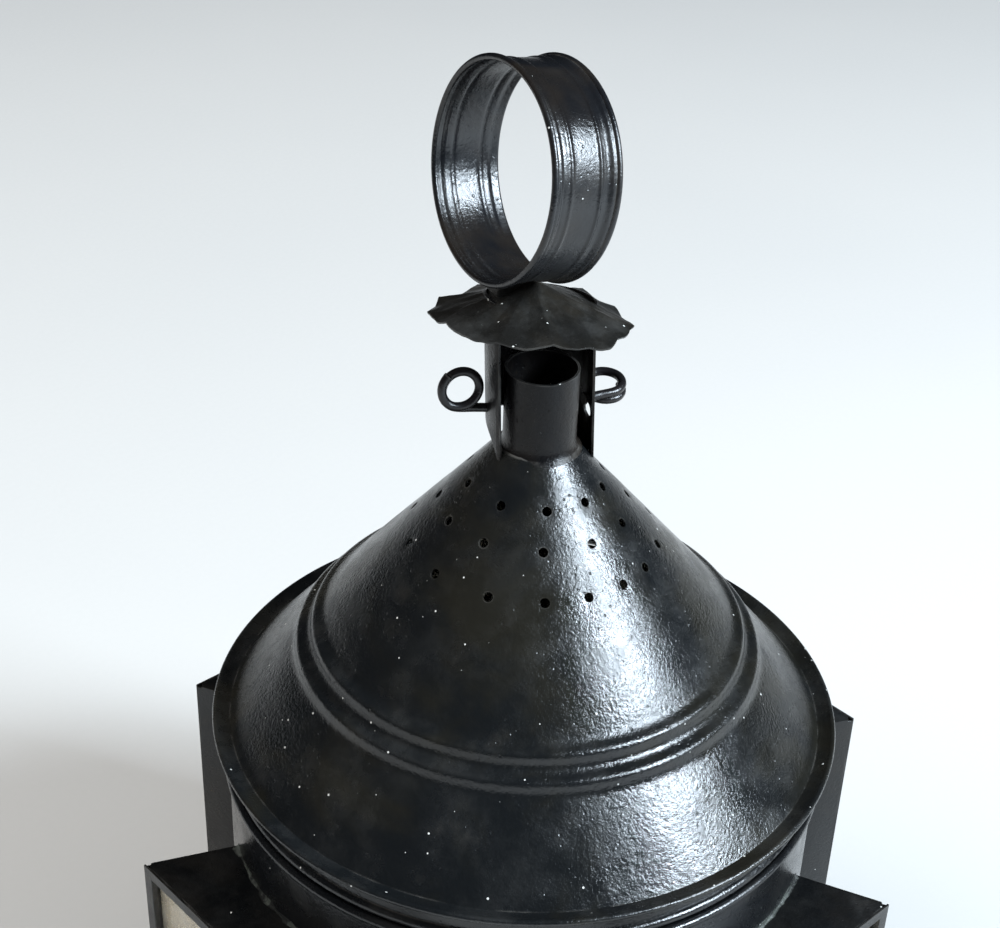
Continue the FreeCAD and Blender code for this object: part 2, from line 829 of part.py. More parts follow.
def main():
    sides = [("front", 0), ("right", 1), ("rear", 2), ("left", 3)]
    parts = [
        make_roof_cone(),
        make_ring_wire("roof_rim_wire", "brim_radius - brim_wire", "brim_wire",
                       "brim_height + brim_rise - sheet / 2"),
        make_roof_collar(),
        make_chimney(),
        make_wind_guard(),
        make_wire_eye("left_eye", LEFT_EYE),
        make_wire_eye("right_eye", RIGHT_EYE),
        make_rain_cap(),
        make_ring_saddle(),
        make_ring_handle(),
        make_ring_wires(),
        make_drum(),
        make_ring_wire("drum_rim_wire", "drum_radius + 0.2", "drum_wire", "drum_height"),
        make_foot_ring(),
        make_base_plate(),
        make_pane_clips(sides),
        make_drip_pan(),
        make_candle_socket(),
        make_candle(),
        make_wick(),
    ]
    for side, quarter in sides:
        parts.append(make_window_box(side, quarter))
        parts.append(make_window_frame(side, quarter))
        parts.append(make_pane(side, quarter))
    document.recompute()
    check_document()
    write_parts(parts)


main()
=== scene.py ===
import math
import random

import bpy
from mathutils import Matrix, Vector, noise


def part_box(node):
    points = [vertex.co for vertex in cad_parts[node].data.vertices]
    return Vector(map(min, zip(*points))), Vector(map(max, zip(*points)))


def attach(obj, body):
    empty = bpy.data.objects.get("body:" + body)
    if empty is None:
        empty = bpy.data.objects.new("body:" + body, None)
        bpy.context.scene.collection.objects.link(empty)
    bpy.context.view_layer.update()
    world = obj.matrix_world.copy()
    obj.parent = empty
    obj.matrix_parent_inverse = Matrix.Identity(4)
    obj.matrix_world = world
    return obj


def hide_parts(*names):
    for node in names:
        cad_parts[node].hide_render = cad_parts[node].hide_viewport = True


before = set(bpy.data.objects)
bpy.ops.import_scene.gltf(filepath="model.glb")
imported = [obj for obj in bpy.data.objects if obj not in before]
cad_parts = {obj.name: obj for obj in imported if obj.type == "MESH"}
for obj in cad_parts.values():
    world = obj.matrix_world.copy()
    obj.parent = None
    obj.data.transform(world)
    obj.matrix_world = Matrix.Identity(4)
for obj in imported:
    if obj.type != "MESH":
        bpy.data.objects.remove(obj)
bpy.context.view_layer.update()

mm = 0.001
sides = ("front", "right", "rear", "left")
sheetThickness = 0.8 * mm
mergeGap = 2e-6
copyEasing = {"merge": 5e-6, "flat": 0.4, "corner": 40}  # how packed copies are cleaned, angles in degrees
leanSide = Vector((-math.sqrt(0.5), math.sqrt(0.5), 0))  # the way the crown leans
leanHinge = Vector((-math.sqrt(0.5), -math.sqrt(0.5), 0))
crown = {"turn": -20, "guardLean": 2.2, "capTilt": 9, "ringTurn": -12, "ringLean": -10}  # degrees


# small helpers for working by hand

def putDown():
    if bpy.context.object and bpy.context.object.mode != "OBJECT":
        bpy.ops.object.mode_set(mode="OBJECT")
    bpy.ops.object.select_all(action="DESELECT")


def pickUp(piece):
    putDown()
    piece.select_set(True)
    bpy.context.view_layer.objects.active = piece


def editAll(piece):
    pickUp(piece)
    bpy.ops.object.mode_set(mode="EDIT")
    bpy.ops.mesh.select_mode(type="VERT")
    bpy.ops.mesh.select_all(action="SELECT")


def closeUp(piece):
    editAll(piece)
    bpy.ops.mesh.remove_doubles(threshold=mergeGap)
    bpy.ops.mesh.normals_make_consistent(inside=False)
    bpy.ops.object.mode_set(mode="OBJECT")


def spinProfile(name, points, steps, closed=True, turn=360):
    # a line of (radius, height) points, extruded one by one and spun round Z
    putDown()
    first = points[0]
    bpy.ops.mesh.primitive_plane_add(size=mm, location=(first[0], 0, first[1]))
    piece = bpy.context.object
    piece.name = piece.data.name = name
    bpy.ops.object.transform_apply(location=True, rotation=True, scale=True)
    editAll(piece)
    bpy.ops.mesh.merge(type="CENTER")
    for here, there in zip(points, points[1:]):
        step = (there[0] - here[0], 0, there[1] - here[1])
        bpy.ops.mesh.extrude_vertices_move(TRANSFORM_OT_translate={"value": step})
    bpy.ops.object.mode_set(mode="OBJECT")
    if closed:
        for index, vertex in enumerate(piece.data.vertices):
            vertex.select = index in (0, len(points) - 1)
        bpy.ops.object.mode_set(mode="EDIT")
        bpy.ops.mesh.edge_face_add()
    else:
        bpy.ops.object.mode_set(mode="EDIT")
    bpy.ops.mesh.select_all(action="SELECT")
    bpy.ops.mesh.spin(steps=steps, angle=math.radians(turn), center=(0, 0, 0), axis=(0, 0, 1))
    bpy.ops.object.mode_set(mode="OBJECT")
    closeUp(piece)
    return piece


def arc(middle, radius, start, end, count):
    # points round a small circle in the profile plane, from one angle to another in degrees
    spots = []
    for index in range(count + 1):
        angle = math.radians(start + (end - start) * index / count)
        spots.append((middle[0] + radius * math.cos(angle), middle[1] + radius * math.sin(angle)))
    return spots


def place(piece, matrix):
    piece.data.transform(matrix)
    piece.data.update()


def smooth(piece, angle):
    pickUp(piece)
    bpy.ops.object.shade_smooth_by_angle(angle=math.radians(angle))


def addModifier(piece, kind, **settings):
    pickUp(piece)
    modifier = piece.modifiers.new(kind.lower(), kind)
    for key, value in settings.items():
        setattr(modifier, key, value)
    bpy.ops.object.modifier_apply(modifier=modifier.name)


def softCopy(name, node, bevel):
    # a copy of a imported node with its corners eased, as folded tin has
    putDown()
    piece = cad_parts[node].copy()
    piece.data = piece.data.copy()
    bpy.context.scene.collection.objects.link(piece)
    piece.parent = None
    piece.name = piece.data.name = name
    for key in list(piece.keys()):
        del piece[key]
    piece.data.materials.clear()
    editAll(piece)
    bpy.ops.mesh.customdata_custom_splitnormals_clear()
    bpy.ops.mesh.remove_doubles(threshold=copyEasing["merge"])
    bpy.ops.mesh.dissolve_limited(angle_limit=math.radians(copyEasing["flat"]))
    bpy.ops.object.mode_set(mode="OBJECT")
    addModifier(piece, "BEVEL", width=bevel, segments=2, limit_method="ANGLE",
                angle_limit=math.radians(copyEasing["corner"]), harden_normals=False)
    return piece


def copyRound(first, baseName):
    # the front piece and a copy of it for each other side
    pieces = [first]
    for quarter, side in enumerate(sides[1:], start=1):
        twin = first.copy()
        twin.data = first.data.copy()
        twin.name = twin.data.name = baseName + "_" + side
        bpy.context.scene.collection.objects.link(twin)
        place(twin, Matrix.Rotation(math.radians(90 * quarter), 4, "Z"))
        pieces.append(twin)
    return pieces


def tube(name, points, radius, resolution=6, thick=()):
    # one smooth wire along a line of points, made a mesh
    putDown()
    line = bpy.data.curves.new(name, "CURVE")
    line.dimensions = "3D"
    line.bevel_depth = radius
    line.bevel_resolution = resolution
    line.use_fill_caps = True
    line.resolution_u = 6
    spline = line.splines.new("NURBS")
    spline.points.add(len(points) - 1)
    for spot, point in zip(spline.points, points):
        spot.co = (*point, 1)
    for spot, share in zip(spline.points, thick):
        spot.radius = share
    spline.order_u = 3
    spline.use_endpoint_u = True
    piece = bpy.data.objects.new(name, line)
    bpy.context.scene.collection.objects.link(piece)
    pickUp(piece)
    bpy.ops.object.convert(target="MESH")
    piece = bpy.context.object
    piece.name = piece.data.name = name
    closeUp(piece)
    return piece


def wander(point, scale, seed):
    return noise.noise(Vector(point) * scale + Vector((seed, seed * 0.37, -seed)))


# finishes

def newGroup(name, inputs, outputs):
    group = bpy.data.node_groups.new(name, "ShaderNodeTree")
    for label, kind, start in inputs:
        socket = group.interface.new_socket(name=label, in_out="INPUT", socket_type=kind)
        socket.default_value = start
    for label, kind in outputs:
        group.interface.new_socket(name=label, in_out="OUTPUT", socket_type=kind)
    return group


class Wires:
    # short hand for adding nodes and joining them
    def __init__(self, tree):
        self.tree = tree

    def node(self, kind, settings=None, **inputs):
        made = self.tree.nodes.new(kind)
        for key, value in (settings or {}).items():
            setattr(made, key, value)
        for key, value in inputs.items():
            self.feed(made, key, value)
        return made

    def feed(self, made, key, value):
        key = int(key[1:]) if key[0] == "i" and key[1:].isdigit() else key.replace("_", " ")
        if isinstance(value, bpy.types.NodeSocket):
            self.tree.links.new(value, made.inputs[key])
        else:
            made.inputs[key].default_value = value

    def math(self, operation, first, second, clamp=False):
        made = self.node("ShaderNodeMath", {"operation": operation, "use_clamp": clamp},
                         i0=first, i1=second)
        return made.outputs[0]

    def ramp(self, value, low, high, outLow=0.0, outHigh=1.0):
        made = self.node("ShaderNodeMapRange", {"clamp": True, "interpolation_type": "SMOOTHSTEP"},
                         i0=value, i1=low, i2=high, i3=outLow, i4=outHigh)
        return made.outputs[0]

    def mix(self, share, first, second):
        made = self.node("ShaderNodeMix", {"data_type": "RGBA", "clamp_factor": True},
                         i0=share, i6=first, i7=second)
        return made.outputs[2]

    def noise(self, where, scale, detail, rough, warp=0.0):
        made = self.node("ShaderNodeTexNoise", {}, Vector=where, Scale=scale, Detail=detail,
                         Roughness=rough, Distortion=warp)
        return made.outputs["Fac"]

    def cells(self, where, scale):
        made = self.node("ShaderNodeTexVoronoi", {"feature": "F1"}, Vector=where, Scale=scale)
        return made.outputs


paintGrain = {
    # about how many times each pattern repeats in a metre
    "broad": 22, "patchy": 75, "settled": 48, "lumps": 150, "peel": 760, "fine": 2200,
    "pits": 380, "specks": 330,
    # how far in an edge wears, and the depth of the relief
    "edgeReach": 0.9 * mm, "relief": 0.35 * mm,
}
paintStains = {
    "brown": (0.028, 0.025, 0.021, 1), "film": (0.20, 0.20, 0.19, 1),
    "worn": (0.12, 0.115, 0.105, 1), "speck": (0.42, 0.42, 0.40, 1),
}


def buildPaint():
    # old brushed-on black: orange peel, pits, dust specks and thin worn edges
    grain = paintGrain
    group = newGroup("oldPaint", [
        ("Paint", "NodeSocketColor", (0.012, 0.013, 0.014, 1)),
        ("Tint", "NodeSocketColor", (0.03, 0.028, 0.02, 1)),
        ("Dust", "NodeSocketFloat", 0.5),
        ("Wear", "NodeSocketFloat", 0.6),
        ("Gloss", "NodeSocketFloat", 0.36),
        ("Peel", "NodeSocketFloat", 0.5),
        ("Shift", "NodeSocketFloat", 0.0),
    ], [
        ("Color", "NodeSocketColor"),
        ("Roughness", "NodeSocketFloat"),
        ("Normal", "NodeSocketVector"),
    ])
    w = Wires(group)
    given = w.node("NodeGroupInput").outputs
    spot = w.node("ShaderNodeTexCoord").outputs["Object"]
    where = w.node("ShaderNodeVectorMath", {"operation": "ADD"}, i0=spot, i1=given["Shift"]).outputs[0]
    broad = w.noise(where, grain["broad"], 4, 0.6, 0.4)
    patchy = w.noise(where, grain["patchy"], 5, 0.62)
    peel = w.noise(where, grain["peel"], 3, 0.6)
    fine = w.noise(where, grain["fine"], 2, 0.6)
    lumps = w.noise(where, grain["lumps"], 3, 0.5, 0.3)
    pits = w.ramp(w.cells(where, grain["pits"])["Distance"], 0.06, 0.24, 1, 0)
    pits = w.math("MULTIPLY", pits, w.ramp(patchy, 0.45, 0.6))
    grains = w.cells(where, grain["specks"])
    pick = w.node("ShaderNodeSeparateColor", {}, Color=grains["Color"]).outputs
    size = w.ramp(pick[0], 0.0, 1.0, 0.03, 0.13)
    speck = w.math("LESS_THAN", grains["Distance"], size)
    rare = w.math("GREATER_THAN", pick[1], w.ramp(given["Dust"], 0.0, 1.0, 1.0, 0.72))
    specks = w.math("MULTIPLY", speck, rare)
    rounded = w.node("ShaderNodeBevel", {"samples": 6}, Radius=grain["edgeReach"]).outputs[0]
    facing = w.node("ShaderNodeNewGeometry").outputs["Normal"]
    bend = w.node("ShaderNodeVectorMath", {"operation": "DOT_PRODUCT"}, i0=rounded, i1=facing).outputs[1]
    edges = w.ramp(bend, 0.90, 0.99, 1, 0)
    edges = w.math("MULTIPLY", edges, w.ramp(patchy, 0.40, 0.62))
    edges = w.math("MULTIPLY", edges, given["Wear"])
    up = w.node("ShaderNodeSeparateXYZ", {}, Vector=facing).outputs[2]
    film = w.ramp(w.noise(where, grain["settled"], 6, 0.7), 0.42, 0.68)
    settled = w.math("MULTIPLY", w.ramp(up, 0.25, 0.95), film)
    settled = w.math("MULTIPLY", settled, given["Dust"])
    tinted = w.mix(w.ramp(broad, 0.42, 0.66), given["Paint"], given["Tint"])
    tinted = w.mix(w.math("MULTIPLY", w.ramp(patchy, 0.58, 0.78), 0.25), tinted, paintStains["brown"])
    dusty = w.mix(w.math("MULTIPLY", settled, 0.06), tinted, paintStains["film"])
    worn = w.mix(w.math("MULTIPLY", edges, 0.6), dusty, paintStains["worn"])
    color = w.mix(specks, worn, paintStains["speck"])
    rough = w.math("ADD", given["Gloss"], w.ramp(patchy, 0.3, 0.7, -0.07, 0.09))
    rough = w.math("ADD", rough, w.math("MULTIPLY", settled, 0.18))
    rough = w.math("ADD", rough, w.math("MULTIPLY", specks, 0.3), clamp=True)
    height = w.math("MULTIPLY", peel, 0.8)
    height = w.math("ADD", height, w.math("MULTIPLY", fine, 0.3))
    height = w.math("ADD", height, w.math("MULTIPLY", lumps, 0.6))
    height = w.math("SUBTRACT", height, w.math("MULTIPLY", pits, 0.55))
    height = w.math("ADD", height, w.math("MULTIPLY", specks, 0.35))
    bump = w.node("ShaderNodeBump", {}, Strength=given["Peel"], Distance=grain["relief"], Height=height)
    out = w.node("NodeGroupOutput")
    w.feed(out, "Color", color)
    w.feed(out, "Roughness", rough)
    w.feed(out, "Normal", bump.outputs[0])
    return group


oldPaint = buildPaint()


def paintFinish(name, paint, tint, dust=0.5, wear=0.6, gloss=0.36, peel=0.5, shift=0.0, shine=0.5):
    material = bpy.data.materials.new(name)
    material.use_nodes = True
    w = Wires(material.node_tree)
    body = material.node_tree.nodes["Principled BSDF"]
    coat = w.node("ShaderNodeGroup", {"node_tree": oldPaint}, Paint=(*paint, 1), Tint=(*tint, 1),
                  Dust=dust, Wear=wear, Gloss=gloss, Peel=peel, Shift=shift)
    w.feed(body, "Base_Color", coat.outputs["Color"])
    w.feed(body, "Roughness", coat.outputs["Roughness"])
    w.feed(body, "Normal", coat.outputs["Normal"])
    body.inputs["Specular IOR Level"].default_value = shine
    return material


def blankFinish(name):
    # a new material, its node helper, its shader and its object coordinates
    material = bpy.data.materials.new(name)
    material.use_nodes = True
    w = Wires(material.node_tree)
    where = w.node("ShaderNodeTexCoord").outputs["Object"]
    return material, w, material.node_tree.nodes["Principled BSDF"], where


paints = {
    "roof": paintFinish("roofPaint", (0.0045, 0.0052, 0.0058), (0.009, 0.0085, 0.0065),
                        dust=0.55, gloss=0.21, peel=0.72),
    "drum": paintFinish("drumPaint", (0.0035, 0.004, 0.0048), (0.006, 0.006, 0.006),
                        dust=0.3, gloss=0.24, shift=3.1),
    "box": paintFinish("boxPaint", (0.003, 0.0034, 0.0038), (0.006, 0.0055, 0.005),
                       dust=0.4, gloss=0.32, shift=5.7, shine=0.4),
    "frame": paintFinish("framePaint", (0.005, 0.005, 0.0052), (0.010, 0.009, 0.008),
                         dust=0.3, gloss=0.36, shift=8.3),
    "ring": paintFinish("ringPaint", (0.0045, 0.005, 0.0062), (0.011, 0.009, 0.0075),
                        dust=0.15, gloss=0.25, peel=0.5, shift=11.9),
    "cap": paintFinish("capPaint", (0.007, 0.0068, 0.0062), (0.016, 0.0135, 0.010),
                       dust=0.9, gloss=0.34, peel=0.6, shift=14.2, shine=0.35),
    "wire": paintFinish("wirePaint", (0.005, 0.0045, 0.005), (0.011, 0.009, 0.009),
                        dust=0.3, gloss=0.30, peel=0.5, shift=17.5, shine=0.4),
    "chimney": paintFinish("chimneyPaint", (0.003, 0.003, 0.0034), (0.009, 0.007, 0.0055),
                           dust=0.5, gloss=0.30, peel=0.7, shift=20.4, shine=0.2),
}


def tinFinish():
    # bare tinplate: faint rolling lines, grey bloom and soot
    material, w, body, where = blankFinish("bareTin")
    bloom = w.noise(where, 60, 5, 0.6, 0.5)
    stretched = w.node("ShaderNodeMapping", {}, Vector=where, Scale=(1.0, 30.0, 1.0)).outputs[0]
    lines = w.noise(stretched, 90, 3, 0.6)
    soot = w.ramp(w.noise(where, 28, 4, 0.65), 0.45, 0.7)
    color = w.mix(w.ramp(bloom, 0.35, 0.7), (0.42, 0.42, 0.40, 1), (0.24, 0.235, 0.22, 1))
    color = w.mix(w.math("MULTIPLY", soot, 0.7), color, (0.05, 0.045, 0.04, 1))
    w.feed(body, "Base_Color", color)
    w.feed(body, "Roughness", w.ramp(bloom, 0.3, 0.7, 0.34, 0.6))
    height = w.math("ADD", lines, bloom)
    bump = w.node("ShaderNodeBump", {}, Strength=0.25, Distance=0.2 * mm, Height=height)
    w.feed(body, "Normal", bump.outputs[0])
    body.inputs["Metallic"].default_value = 0.9
    return material


def glassFinish():
    # old cylinder glass, wavy and filmed with dust
    material, w, body, where = blankFinish("agedGlass")
    film = w.noise(where, 34, 6, 0.66, 0.6)
    streak = w.node("ShaderNodeMapping", {}, Vector=where, Scale=(1.0, 1.0, 0.16)).outputs[0]
    runs = w.noise(streak, 120, 4, 0.6)
    wave = w.noise(where, 30, 1, 0.4)
    film = w.math("ADD", w.math("MULTIPLY", film, 0.6), w.math("MULTIPLY", runs, 0.4))
    color = w.mix(w.ramp(film, 0.35, 0.68), (0.83, 0.78, 0.66, 1), (0.60, 0.50, 0.34, 1))
    w.feed(body, "Base_Color", color)
    w.feed(body, "Roughness", w.ramp(film, 0.34, 0.70, 0.10, 0.42))
    bump = w.node("ShaderNodeBump", {}, Strength=0.25, Distance=0.6 * mm, Height=wave)
    w.feed(body, "Normal", bump.outputs[0])
    body.inputs["Transmission Weight"].default_value = 0.72
    body.inputs["IOR"].default_value = 1.5
    return material


def waxFinish():
    # clouded tallow, a little see-through
    material, w, body, where = blankFinish("tallowWax")
    cloud = w.noise(where, 55, 4, 0.6)
    fine = w.noise(where, 420, 3, 0.6)
    color = w.mix(w.ramp(cloud, 0.35, 0.7), (0.80, 0.74, 0.60, 1), (0.70, 0.60, 0.42, 1))
    w.feed(body, "Base_Color", color)
    w.feed(body, "Roughness", w.ramp(fine, 0.3, 0.7, 0.38, 0.58))
    height = w.math("ADD", cloud, fine)
    bump = w.node("ShaderNodeBump", {}, Strength=0.3, Distance=0.4 * mm, Height=height)
    w.feed(body, "Normal", bump.outputs[0])
    body.inputs["Subsurface Weight"].default_value = 0.25
    body.inputs["Subsurface Radius"].default_value = (0.006, 0.004, 0.002)
    return material


def wickFinish():
    # cotton below, charred above
    material, w, body, where = blankFinish("charredCotton")
    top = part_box("wick")[1].z
    height = w.node("ShaderNodeSeparateXYZ", {}, Vector=where).outputs[2]
    char = w.ramp(height, top - 7 * mm, top - 2 * mm)
    twist = w.noise(where, 900, 3, 0.6)
    color = w.mix(char, (0.55, 0.50, 0.40, 1), (0.015, 0.013, 0.012, 1))
    w.feed(body, "Base_Color", w.mix(w.math("MULTIPLY", twist, 0.4), color, (0.10, 0.08, 0.06, 1)))
    w.feed(body, "Roughness", w.ramp(twist, 0.3, 0.7, 0.75, 0.95))
    bump = w.node("ShaderNodeBump", {}, Strength=0.6, Distance=0.3 * mm, Height=twist)
    w.feed(body, "Normal", bump.outputs[0])
    return material


def solderFinish():
    # soft solder with flux stains, mostly painted over
    material, w, body, where = blankFinish("oldSolder")
    stain = w.noise(where, 160, 5, 0.65, 0.4)
    fine = w.noise(where, 900, 3, 0.6)
    color = w.mix(w.ramp(stain, 0.44, 0.60), (0.010, 0.0105, 0.010, 1), (0.05, 0.056, 0.048, 1))
    w.feed(body, "Base_Color", color)
    w.feed(body, "Roughness", w.ramp(stain, 0.35, 0.65, 0.34, 0.58))
    w.feed(body, "Metallic", w.ramp(stain, 0.5, 0.64, 0.0, 0.6))
    height = w.math("ADD", stain, fine)
    bump = w.node("ShaderNodeBump", {}, Strength=0.6, Distance=0.4 * mm, Height=height)
    w.feed(body, "Normal", bump.outputs[0])
    return material


tin = tinFinish()
agedGlass = glassFinish()
wax = waxFinish()
charredCotton = wickFinish()
solder = solderFinish()
print("finishes ready")


def finishPiece(piece, material, body, nodes=()):
    piece.data.materials.clear()
    piece.data.materials.append(material)
    for face in piece.data.polygons:
        face.material_index = 0
    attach(piece, body)
    if nodes:
        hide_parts(*nodes)


def repaint(node, material):
    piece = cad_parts[node]
    piece.data.materials.clear()
    piece.data.materials.append(material)


# roof cone with its punched vents

roofShape = {
    "topRadius": 12.7 * mm, "topHeight": 305.7 * mm,
    "foldRadius": 105.8 * mm, "foldHeight": 196.0 * mm,
    "edgeRadius": 110.4 * mm, "rollRadius": 1.1 * mm,
    "beads": (74.4 * mm, 80.1 * mm), "beadRise": 1.9 * mm, "beadWidth": 1.75 * mm, "beadSink": 0.35 * mm,
    "dent": 0.28 * mm, "ripple": 0.10 * mm, "calmEdge": 8 * mm,
    "coarseStep": 1.3 * mm, "fineStep": 0.45 * mm, "fineReach": 5 * mm, "steps": 320,
}
ventRows = (  # radius of each row, and its vents in degrees round from +X
    (23.7 * mm, (-205, -162, -124, -89, -60, -29, 8, 44, 80, 115)),
    (32.3 * mm, (-225, -195, -164, -128, -97, -67, -34, 0, 34, 68, 101)),
    (42.9 * mm, (-240, -209, -182, -153, -128, -108, -89, -72, -52, -24, 0, 24, 48, 72, 96)),
)
vents = {"radius": 1.65 * mm, "dimple": 0.35 * mm, "dimpleRadius": 3.2 * mm, "within": 50 * mm}
roofRise = roofShape["topHeight"] - roofShape["foldHeight"]
roofSlope = roofRise / (roofShape["foldRadius"] - roofShape["topRadius"])


def coneHeight(radius):
    return roofShape["foldHeight"] + (roofShape["foldRadius"] - radius) * roofSlope


def makeRoof():
    shape = roofShape
    normal = Vector((roofSlope, 0, 1)).normalized()
    radii = []
    radius = shape["topRadius"]
    while radius < shape["foldRadius"] - 0.5 * mm:
        radii.append(radius)
        near = min(abs(radius - bead) for bead in shape["beads"])
        radius += shape["fineStep"] if near < shape["fineReach"] else shape["coarseStep"]
    radii.append(shape["foldRadius"])
    outer = []
    for radius in radii:
        lift = 0.0
        for bead in shape["beads"]:
            along = (radius - bead) / shape["beadWidth"]
            lift += shape["beadRise"] * math.exp(-along * along)
            wide = (radius - bead) / (shape["beadWidth"] * 2.4)
            lift -= shape["beadSink"] * math.exp(-wide * wide)
        outer.append((radius + normal.x * lift, coneHeight(radius) + normal.z * lift))
    roll = shape["rollRadius"]
    low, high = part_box("roof_rim_wire")
    rollMiddle = (high.x - roll, (low.z + high.z) / 2)
    outer.append(((shape["foldRadius"] + shape["edgeRadius"]) / 2, shape["foldHeight"] + 0.35 * mm))
    outer += arc(rollMiddle, roll, 125, -215, 14)[:-1]
    inner = [(radius - sheetThickness * normal.x, coneHeight(radius) - sheetThickness * normal.z)
             for radius in radii[::-3]]
    inner[0] = (shape["foldRadius"] - 0.3 * mm, shape["foldHeight"] - sheetThickness)
    roof = spinProfile("roofSheet", outer + inner, shape["steps"])
    spots = []
    for row, angles in ventRows:
        for angle in angles:
            turn = math.radians(angle)
            outward = Vector((roofSlope * math.cos(turn), roofSlope * math.sin(turn), 1)).normalized()
            spots.append((Vector((row * math.cos(turn), row * math.sin(turn), coneHeight(row))), outward))
    for vertex in roof.data.vertices:
        co = vertex.co
        flat = math.hypot(co.x, co.y)
        outward = Vector((roofSlope * co.x, roofSlope * co.y, flat)).normalized()
        push = shape["dent"] * wander(co, 22, 3.0) + shape["ripple"] * wander(co, 70, 9.0)
        push *= min(1.0, max(0.0, (shape["foldRadius"] - flat) / shape["calmEdge"]))
        push *= min(1.0, max(0.0, (flat - shape["topRadius"]) / shape["calmEdge"]))
        if flat < vents["within"]:
            for spot, _ in spots:
                away = (co - spot).length
                if away < vents["dimpleRadius"] * 1.6:
                    push -= vents["dimple"] * math.exp(-(away / vents["dimpleRadius"] * 1.6) ** 2)
        vertex.co = co + outward * push
    putDown()
    punches = []
    for spot, outward in spots:
        bpy.ops.mesh.primitive_cylinder_add(vertices=20, radius=vents["radius"], depth=8 * mm)
        punch = bpy.context.object
        aimed = outward.to_track_quat("Z", "X").to_matrix().to_4x4()
        punch.data.transform(Matrix.Translation(spot) @ aimed)
        punches.append(punch)
    putDown()
    for punch in punches:
        punch.select_set(True)
    bpy.context.view_layer.objects.active = punches[0]
    bpy.ops.object.join()
    tool = bpy.context.object
    addModifier(roof, "BOOLEAN", operation="DIFFERENCE", object=tool, solver="EXACT")
    bpy.data.objects.remove(tool)
    smooth(roof, 40)
    finishPiece(roof, paints["roof"], "roof", ("roof_cone", "roof_rim_wire"))


makeRoof()
print("roof sheet made")


# chimney

chimneyShape = {
    "radius": 12.3 * mm, "top": 333.6 * mm, "skirt": 14.4 * mm, "base": 302.7 * mm, "seat": 13.4 * mm,
    "nick": 0.4 * mm, "nickAt": 4 * mm, "nickTurn": -45, "shift": -0.8 * mm,
    "trimDepth": 12 * mm, "boreLevel": 320 * mm, "levels": 22, "fillet": 5.2 * mm, "filletSteps": 8,
    "uneven": 0.012, "unevenFrom": 312 * mm, "unevenOver": 10 * mm, "steps": 96,
}


def makeChimney():
    shape = chimneyShape
    wall = shape["radius"]
    foot = coneHeight(shape["skirt"]) + 0.05 * mm
    outer = []
    levels = shape["levels"]
    rise = foot + shape["fillet"]
    for index in range(levels):
        outer.append((wall, shape["top"] - (shape["top"] - rise) * index / (levels - 1)))
    for index in range(1, shape["filletSteps"] + 1):  # the flared foot where the tube meets the cone
        share = index / shape["filletSteps"]
        outer.append((wall + (shape["skirt"] - wall) * share ** 1.7, rise - (rise - foot) * share ** 0.75))
    bore = wall - sheetThickness
    inner = [(bore, shape["base"]), (bore, shape["boreLevel"]), (bore, shape["top"])]
    under = [(shape["seat"], coneHeight(shape["seat"])), (wall, shape["base"] + 2.7 * mm),
             (wall, shape["base"])]
    tubePiece = spinProfile("chimneyTube", outer + under + inner, shape["steps"])
    turn = math.radians(shape["nickTurn"])
    for vertex in tubePiece.data.vertices:
        co = vertex.co
        across = co.x * math.cos(-turn) - co.y * math.sin(-turn)
        deep = co.x * math.sin(-turn) + co.y * math.cos(-turn)
        top = shape["top"]
        if deep < 0:
            low = shape["nickAt"]
            if across < low:
                drop = shape["nick"] * (across + wall) / (wall + low)
            else:
                drop = shape["nick"] - (shape["nick"] + 1 * mm) * (across - low) / (wall - low)
            top -= max(0, drop) * min(1, -deep / (2.5 * mm))
        top -= 0.18 * mm * (1 + wander((co.x, co.y, 0), 420, 5.0))
        start = shape["top"] - shape["trimDepth"]
        if co.z > start:
            share = (co.z - start) / (shape["top"] - start)
            vertex.co.z = start + (top - start) * share
        share = min(1, max(0, (co.z - shape["unevenFrom"]) / shape["unevenOver"]))
        uneven = 1 + shape["uneven"] * wander((co.x, co.y, co.z), 60, 2.0) * share
        vertex.co.x *= uneven
        vertex.co.y *= uneven
    place(tubePiece, Matrix.Translation(leanSide * shape["shift"]))
    smooth(tubePiece, 50)
    finishPiece(tubePiece, paints["chimney"], "roof", ("chimney_tube",))


makeChimney()
print("chimney made")


# wind guard

guard = softCopy("guardSheet", "wind_guard", 0.22 * mm)
smooth(guard, 40)
finishPiece(guard, paints["chimney"], "roof", ("wind_guard",))


# ring handle

ringShape = {
    "radius": 35.2 * mm, "waist": 33.9 * mm, "half": 12.4 * mm, "wire": 1.1 * mm,
    # place along the band, rise and width in mm of each soft step or bead
    "beads": (
        (-9.4, 0.28, 0.5), (-8.2, -0.16, 0.5), (-5.2, 0.34, 0.6),
        (5.1, 0.40, 0.55), (7.6, -0.22, 0.9), (9.3, 0.20, 0.6),
    ),
    "flare": 0.95 * mm, "steps": 200, "count": 64, "wobble": 0.22 * mm, "edgeWobble": 0.16 * mm,
}


